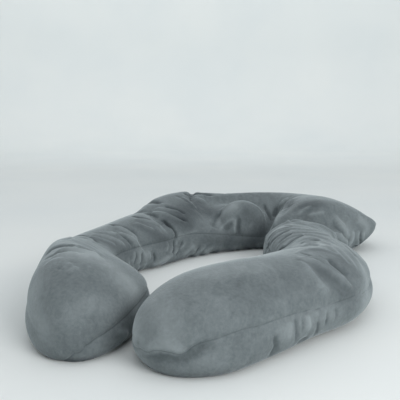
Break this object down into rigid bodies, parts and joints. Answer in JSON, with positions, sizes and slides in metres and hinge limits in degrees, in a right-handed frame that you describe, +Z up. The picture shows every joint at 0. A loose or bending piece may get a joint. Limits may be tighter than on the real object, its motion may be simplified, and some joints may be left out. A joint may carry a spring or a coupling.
{
  "type": "body pillow",
  "caption": "U-shaped body pillow, one filled cloth body lying flat, with a head end, a round neck lobe and two arms whose full ends curl inwards.",
  "frame": {"origin": "on the surface that the pillow lies on, under the middle of its box, inside the open middle of the U", "axes": "+Z up, +Y from the ends of the arms towards the head end, +X to the side with the pointed corner"},
  "size_m": [0.9974, 1.3722, 0.1796],
  "materials": {
    "velour": "short-pile grey velour, brushed lighter and darker in soft patches"
  },
  "bodies": {
    "root": {"body_pillow": "velour"}
  },
  "joints": []
}
